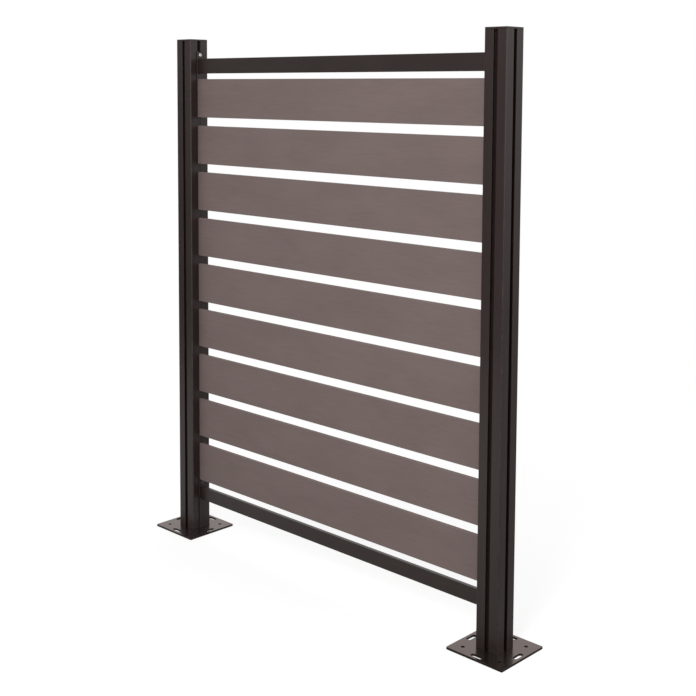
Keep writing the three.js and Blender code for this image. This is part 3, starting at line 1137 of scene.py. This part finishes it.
@dataclass
class SlotKeys(SubAssembly):
    """The spacers and standoffs that slide in the posts' inner slots.

    Attributes:
        flange: Thickness of the flange on the post's face.
        flange_width: Its width.
        flange_round: Radius of its front edges.
        neck: Width of the neck in the slot's mouth.
        head: Width of the head behind the lips.
        head_thickness: Its thickness.
        edge: Radius of the other edges.
        gaps: The number of gaps between slats.
    """

    flange: float = 4 * MILLIMETRE
    flange_width: float = 24 * MILLIMETRE
    flange_round: float = 0.8 * MILLIMETRE
    neck: float = 14 * MILLIMETRE
    head: float = 26 * MILLIMETRE
    head_thickness: float = 6 * MILLIMETRE
    edge: float = 0.25 * MILLIMETRE
    gaps: int = 8

    def __post_init__(self) -> None:
        """Takes the front of the flanges from the standoff's node."""
        self.flange_face = left_box("standoff")[1].x

    def build(self) -> None:
        """Models a standoff and a spacer and places them all at both posts."""
        standoff = self._flanged("standoff").soften(self.edge).finish()
        self.dress_pair(standoff, "standoff")
        spacer = self._spacer("spacer_1").soften(self.edge).finish()
        self.dress_row(spacer, "spacer", self.gaps)

    def _spacer(self, name: str) -> Workpiece:
        """Models a left spacer, whose face lies just inside the slot's mouth."""
        low, high = left_box(name)
        return self._with_head(name, Workpiece.block(
            (low.x + self.head_thickness, -self.neck / 2, low.z),
            (high.x, self.neck / 2, high.z)))

    def _flanged(self, name: str) -> Workpiece:
        """Models a left key with a flange on the post's face.

        Args:
            name: The key's name without its side.

        Returns:
            The key, not yet finished.
        """
        low, high = left_box(name)
        back = self.flange_face - self.flange
        key = Workpiece.block((back, -self.flange_width / 2, low.z),
                              (self.flange_face, self.flange_width / 2, high.z))
        key.round_edges(self._is_front_edge, self.flange_round, steps=3).score(self.neck)
        key.extrude(self._rear, (low.x + self.head_thickness - back, 0, 0))
        return self._with_head(name, key)

    def _with_head(self, name: str, key: Workpiece) -> Workpiece:
        """Widens a neck's rear face into the head behind the slot's lips.

        Args:
            name: The key's name without its side.
            key: The key, as far as its neck.

        Returns:
            The key.
        """
        shoulder = left_box(name)[0].x + self.head_thickness
        key.extrude(self._rear, (0, 0, 0))
        key.widen(self._rear, (1, self.head / self.neck, 1), (shoulder, 0, left_middle(name)[2]))
        return key.extrude(self._rear, (-self.head_thickness, 0, 0))

    @property
    def _rear(self) -> Test:
        """The test for the middle one of the faces that look into the post."""
        return looking(Axis.X, -1, self.neck / 4)

    def _is_front_edge(self, edge: bmesh.types.BMEdge) -> bool:
        """Tells the flange's two upright front edges."""
        return along(Axis.Z)(edge) and lying_at(Axis.X, self.flange_face)(edge)


@dataclass
class RailBrackets(SlotKeys):
    """The keys that carry the rails: each has a tongue in the rail and a screwed ear.

    Attributes:
        rail_wall: Wall of the hollow rail around the tongue.
        play: Gap between the tongue and the rail.
        screw_hole: Diameter of the hole in the ear.
    """

    rail_wall: float = 1.8 * MILLIMETRE
    play: float = 0.3 * MILLIMETRE
    screw_hole: float = 6.1 * MILLIMETRE

    def build(self) -> None:
        """Models the two left brackets and places all four."""
        for level in ("bottom", "top"):
            name = f"{level}_bracket"
            bracket = self._flanged(name).join(self._tongue(name, f"{level}_rail"))
            bracket.cut(self._hole(f"{name}_screw"))
            bracket.soften(self.edge).finish()
            self.dress_pair(bracket, name)

    def _tongue(self, name: str, rail: str) -> Workpiece:
        """Models the tongue inside the hollow rail.

        Args:
            name: The bracket's name without its side.
            rail: The rail's node.

        Returns:
            The tongue.
        """
        low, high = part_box(rail)
        inset = self.rail_wall + self.play
        start = self.flange_face - self.flange / 2
        return Workpiece.block((start, low.y + inset, low.z + inset),
                               (left_box(name)[1].x, high.y - inset, high.z - inset))

    def _hole(self, screw: str) -> Workpiece:
        """Returns the cutter of the hole in the ear."""
        low, high = left_box(screw)
        return Workpiece.rod(self.screw_hole / 2, (low.x, 0, left_middle(screw)[2]),
                             high.x - low.x + SPARE, Axis.X, sides=32)


@dataclass
class BracketScrews(SubAssembly):
    """The pan-head screws that lock the brackets, with a hex socket.

    Attributes:
        shank: Diameter of the shank.
        head: Diameter of the head.
        head_height: Its height.
        dome: Radius of its rim, as a share of its height.
        tip: Length of the point.
        key: Width of the hex key across its flats.
        socket: Depth of the socket.
        painted_shade_finish: A darker zinc for the bottom screws, painted shade that stands in for
            the dark surroundings they reflect.
    """

    shank: float = 5.5 * MILLIMETRE
    head: float = 13 * MILLIMETRE
    head_height: float = 4 * MILLIMETRE
    dome: float = 0.55
    tip: float = 5 * MILLIMETRE
    key: float = 5 * MILLIMETRE
    socket: float = 2.4 * MILLIMETRE
    painted_shade_finish: bpy.types.Material | None = None

    def build(self) -> None:
        """Models one screw and places all four."""
        bottom, top = (self._place(f"{level}_bracket_screw") for level in ("bottom", "top"))
        screw = self._screw(left_box("bottom_bracket_screw")[0].x, bottom)
        upper = screw.copy(top - bottom)
        # The bottom screws take the darker zinc, which paints the shade of what they reflect.
        self.dress_pair(screw, "bottom_bracket_screw", self.painted_shade_finish)
        self.dress_pair(upper, "top_bracket_screw")

    def _place(self, name: str) -> Vector:
        """Returns the centre of a screw head's top."""
        return Vector((left_box(name)[1].x, 0, left_middle(name)[2]))

    def _screw(self, end: float, top: Vector) -> Workpiece:
        """Models a screw that points along -X.

        Args:
            end: Where its point ends.
            top: The centre of its head's top.

        Returns:
            The finished screw.
        """
        under = top.x - self.head_height
        start = end + self.tip
        grow = self.head / self.shank
        outward, inward = looking(Axis.X), looking(Axis.X, -1)
        screw = Workpiece.rod(self.shank / 2, (start, 0, top.z), under - start, Axis.X, sides=32)
        screw.extrude(outward, (0, 0, 0))
        screw.widen(outward, (1, grow, grow), (under, 0, top.z))
        screw.extrude(outward, (self.head_height, 0, 0))
        screw.round_edges(lying_at(Axis.X, top.x), self.dome * self.head_height, steps=6)
        # The point; this draws back the head's underside too, out of sight in the bracket.
        screw.extrude(inward, (-self.tip, 0, 0))
        screw.widen(lambda face: inward(face) and face.calc_center_median().x < start,
                    (1, SCREW_POINT, SCREW_POINT), (end, 0, top.z))
        screw.cut(Workpiece.hex_bar(self.key, (top.x - self.socket, 0, top.z),
                                    self.socket + SPARE, Axis.X))
        return screw.finish()


@dataclass
class PlateScrews(SubAssembly):
    """The countersunk screws up through the base plates into the posts' screw ports.

    Attributes:
        shank: Diameter of the shank.
        head: Diameter of the countersunk head.
        tip: Length of the point.
        key: Width of the hex key across its flats.
        socket: Depth of the socket.
        count: The number of screws in a post.
    """

    shank: float = 4.8 * MILLIMETRE
    head: float = 10 * MILLIMETRE
    tip: float = 4 * MILLIMETRE
    key: float = 3 * MILLIMETRE
    socket: float = 2 * MILLIMETRE
    count: int = 4

    def build(self) -> None:
        """Models one screw and places all eight."""
        low, high = left_box("plate_screw_1")
        x, y, _ = left_middle("plate_screw_1")
        screw = self._screw(Vector((x, y, low.z)), high.z)
        self.dress_row(screw, "plate_screw", self.count)

    def _screw(self, foot: Vector, top: float) -> Workpiece:
        """Models a screw standing on its head.

        Args:
            foot: The centre of the head's flat face.
            top: The height of the screw's point.

        Returns:
            The finished screw.
        """
        cone = (self.head - self.shank) / 2
        shoulder = foot.z + cone
        grow = self.head / self.shank
        downward, upward = looking(Axis.Z, -1), looking(Axis.Z)
        screw = Workpiece.rod(self.shank / 2, (foot.x, foot.y, shoulder),
                              top - self.tip - shoulder, sides=32)
        screw.extrude(downward, (0, 0, -cone))
        screw.widen(downward, (grow, grow, 1), foot)
        screw.extrude(upward, (0, 0, self.tip))
        screw.widen(upward, (SCREW_POINT, SCREW_POINT, 1), (foot.x, foot.y, top))
        screw.cut(Workpiece.hex_bar(self.key, (foot.x, foot.y, foot.z - SPARE),
                                    self.socket + SPARE))
        return screw.finish()


@dataclass
class Rails(SubAssembly):
    """The hollow top and bottom rails.

    Attributes:
        wall: Wall of the tube.
        edge: Radius of its long edges.
    """

    wall: float = 1.8 * MILLIMETRE
    edge: float = 1.5 * MILLIMETRE

    def build(self) -> None:
        """Models both rails."""
        inset = Vector((-SPARE, self.wall, self.wall))
        for node in ("bottom_rail", "top_rail"):
            low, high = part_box(node)
            rail = Workpiece.block(low, high).round_edges(along(Axis.X), self.edge, steps=4)
            rail.cut(Workpiece.block(low + inset, high - inset)).finish()
            self.dress(rail, node)


@dataclass
class Slats(SubAssembly):
    """The composite boards between the posts.

    Attributes:
        edge: Radius of the boards' long edges.
        end: Radius of the edges at their sawn ends.
        count: The number of boards.
    """

    edge: float = 1.2 * MILLIMETRE
    end: float = 0.3 * MILLIMETRE
    count: int = 9

    def build(self) -> None:
        """Models the top board and copies it to the others' places."""
        low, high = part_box("slat_1")
        board = Workpiece.block(low, high).round_edges(along(Axis.X), self.edge, steps=4)
        board.soften(self.end).finish()
        for number in range(2, self.count + 1):
            node = f"slat_{number}"
            self.dress(board.copy(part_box(node)[0] - low), node)
        self.dress(board, "slat_1")


# --- Studio ---


@dataclass(frozen=True)
class SoftBox:
    """An area lamp that looks at the screen.

    Attributes:
        name: The lamp's name.
        place: Where it hangs.
        aim: What it points at.
        width: Its width.
        height: Its height.
        power: Its power in watts.
        mirrored: Whether reflections show it.
    """

    name: str
    place: Triple
    aim: Triple
    width: float
    height: float
    power: float
    mirrored: bool = True

    def hang(self) -> None:
        """Adds the lamp."""
        lamp = bpy.data.lights.new(self.name, "AREA")
        lamp.shape = "RECTANGLE"
        lamp.size, lamp.size_y = self.width, self.height
        lamp.energy = self.power
        hung = bpy.data.objects.new(self.name, lamp)
        hung.location = self.place
        direction = Vector(self.aim) - Vector(self.place)
        hung.rotation_euler = direction.to_track_quat("-Z", "Y").to_euler()
        hung.visible_glossy = self.mirrored
        bpy.context.scene.collection.objects.link(hung)


@dataclass(frozen=True)
class Studio:
    """A white studio: a round pale floor, a white surround and soft lamps.

    Reflections show something else: a room that fades from a white ceiling to dim
    walls below the horizon, a bright panel beside the camera, and a floor that is
    darker at its far side. A span gives where something starts and where it is
    full, in metres on the floor and as the sine of a direction in the room.

    Attributes:
        floor_radius: The floor's radius.
        floor_sides: The number of its sides.
        floor_drop: How far it lies below the plates.
        floor_tone: Its grey.
        floor_glow: White added to what the camera sees of it.
        floor_sheen: White added to what reflections show of it.
        floor_dim: How much darker reflections show its far side.
        dim_side: The direction of that side.
        dim_span: Where the floor gets darker.
        surround: Strength of the surround as a light.
        room_dim: Strength of the reflected room below the horizon.
        room_up: The direction in which it brightens, leaning a little to the back.
        room_span: Where it brightens.
        room_back: What is added to it behind the screen.
        back_side: The direction of that.
        back_span: Where it is added.
        panel: Strength of the panel beside the camera.
        panel_side: The panel's direction.
        panel_span: Where it appears sideways.
        panel_foot: Where it appears upwards.
        panel_head: Where it ends upwards.
        lamps: The soft boxes.
    """

    floor_radius: float = 3.2
    floor_sides: int = 96
    floor_drop: float = 0.2 * MILLIMETRE
    floor_tone: float = 0.5
    floor_glow: float = 0.66
    floor_sheen: float = 0.25
    floor_dim: float = 0.55
    dim_side: Triple = (0.8, 0.6, 0.0)
    dim_span: Span = (-1.5, 1.3)
    surround: float = 0.66
    room_dim: float = 0.135
    room_up: Triple = (0.0, 0.07, 1.0)
    room_span: Span = (-0.2, 0.45)
    room_back: float = 0.14
    back_side: Triple = (0.0, 1.0, 0.0)
    back_span: Span = (0.0, 0.8)
    panel: float = 2.0
    panel_side: Triple = (0.6, -0.8, 0.0)
    panel_span: Span = (0.6, 0.85)
    panel_foot: Span = (-0.2, -0.05)
    panel_head: Span = (0.05, 0.25)
    lamps: tuple[SoftBox, ...] = (
        SoftBox("key_box", (1.7, -3.4, 2.4), (0.2, 0.0, 1.0), 1.2, 2.0, 64, mirrored=False),
        SoftBox("right_box", (4.8, 1.6, 2.8), (0.4, 0.0, 0.95), 2.4, 2.4, 30),
    )

    def build(self) -> None:
        """Lays the floor, paints the surround and hangs the lamps."""
        self._lay_floor()
        self._paint_surround()
        for lamp in self.lamps:
            lamp.hang()

    def _lay_floor(self) -> None:
        """Adds the floor, which keeps the screen's shadow."""
        clear_selection()
        bpy.ops.mesh.primitive_circle_add(
            vertices=self.floor_sides, radius=self.floor_radius, fill_type="NGON",
            location=(0, 0, -self.floor_drop))
        floor = bpy.context.object
        floor.name = "studio_floor"
        paper = bpy.data.materials.new("white_paper")
        tree = ShaderTree(paper)
        camera, glossy, clear = tree.rays()
        far = tree.towards(tree.place(), self.dim_side).ramp(*self.dim_span)
        dim = glossy * far * self.floor_dim
        glow = camera.at_least(clear) * self.floor_glow + glossy * (1 - dim) * self.floor_sheen
        tone = (self.floor_tone, self.floor_tone, self.floor_tone, 1.0)
        tree.surface(tree.node("ShaderNodeBsdfPrincipled", inputs={
            "Base Color": tree.blend(dim, tone, BLACK), "Roughness": 1.0,
            "Specular IOR Level": 0.0, "Emission Strength": 1.0,
            "Emission Color": tree.blend(glow, BLACK, WHITE)}))
        floor.data.materials.append(paper)

    def _paint_surround(self) -> None:
        """Makes the world white to the camera, a room in reflections, softer as a light."""
        world = bpy.data.worlds.new("white_surround")
        bpy.context.scene.world = world
        tree = ShaderTree(world)
        camera, glossy, clear = tree.rays()
        seen = camera.at_least(clear) * (1 - self.surround)
        strength = self.surround + seen + glossy * (self._room(tree) - self.surround)
        sky = tree.node("ShaderNodeBackground", inputs={"Color": WHITE, "Strength": strength})
        tree.node("ShaderNodeOutputWorld", inputs={"Surface": sky})

    def _room(self, tree: ShaderTree) -> Signal:
        """Builds the strength of the room that reflections show in each direction.

        Args:
            tree: The world's tree.

        Returns:
            The strength.
        """
        outwards = tree.node("ShaderNodeTexCoord", output="Generated")
        above, behind, beside = (tree.towards(outwards, direction)
                                 for direction in (self.room_up, self.back_side, self.panel_side))
        walls = (self.room_dim + above.ramp(*self.room_span)
                 + behind.ramp(*self.back_span) * self.room_back)
        level = above.ramp(*self.panel_foot) * (1 - above.ramp(*self.panel_head))
        return walls.at_most(1) + beside.ramp(*self.panel_span) * level * self.panel


@dataclass(frozen=True)
class PhotoCamera:
    """The camera at the photograph's place.

    Attributes:
        place: Where it stands.
        turn: Its angles about X, Y and Z, in degrees.
        lens: Its focal length in millimetres.
        sensor: The width of its sensor in millimetres.
        shift: How far the picture is moved across the sensor, right and up.
        reach: How far it sees.
    """

    place: Triple = (2.7173, -2.7451, 1.6537)
    turn: Triple = (85.175, -0.256, 44.137)
    lens: float = 61.055
    sensor: float = 36.0
    shift: Span = (0.0115, -0.2295)
    reach: float = 100.0

    def build(self) -> None:
        """Adds the camera and makes it the scene's own."""
        data = bpy.data.cameras.new("photo_camera")
        data.sensor_width = self.sensor
        data.lens = self.lens
        data.shift_x, data.shift_y = self.shift
        data.clip_end = self.reach
        camera = bpy.data.objects.new("photo_camera", data)
        camera.location = self.place
        camera.rotation_euler = tuple(math.radians(angle) for angle in self.turn)
        bpy.context.scene.collection.objects.link(camera)
        bpy.context.scene.camera = camera


# --- The whole screen ---


def main() -> None:
    """Builds the screen, its studio and its camera."""
    logging.basicConfig(level=logging.INFO, format="%(name)s: %(message)s")
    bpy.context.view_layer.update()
    PhotoCamera().build()
    Studio().build()
    zinc = ZincSteel().material()
    # A darker copy of the zinc, painted shade for the bottom bracket screws.
    zinc_in_painted_shade = ZincSteel("zinc_painted_shade", (96, 92, 89), 0.3, (46, 42, 40)).material()
    # The plate's lower sheen on upright faces paints shade on its edges and hole walls.
    plate_coat = PowderCoat("plate_coat", (30, 25, 23), 0.22, sheen=1.0, shaded_side_sheen=0.2,
                            ior=1.6, tint=(1, 0.72, 0.64)).material()
    SlottedPost(PowderCoat("post_coat", grain=Axis.Z).material(), Slot.POST).build()
    PostCap(PowderCoat("cap_coat").material(), Slot.CAP).build()
    BasePlate(plate_coat, Slot.PLATE).build()
    SlotKeys(MouldedPlastic().material(), Slot.KEY).build()
    RailBrackets(PowderCoat("bracket_coat", grain=Axis.Z).material(), Slot.BRACKET).build()
    BracketScrews(zinc, Slot.SCREW, painted_shade_finish=zinc_in_painted_shade).build()
    PlateScrews(zinc, Slot.SCREW).build()
    Rails(PowderCoat("rail_coat", grain=Axis.X).material(), Slot.RAIL).build()
    Slats(CompositeBoard().material(), Slot.SLAT).build()
    bpy.context.scene.view_settings.view_transform = "Standard"


if __name__ == "__main__":
    main()
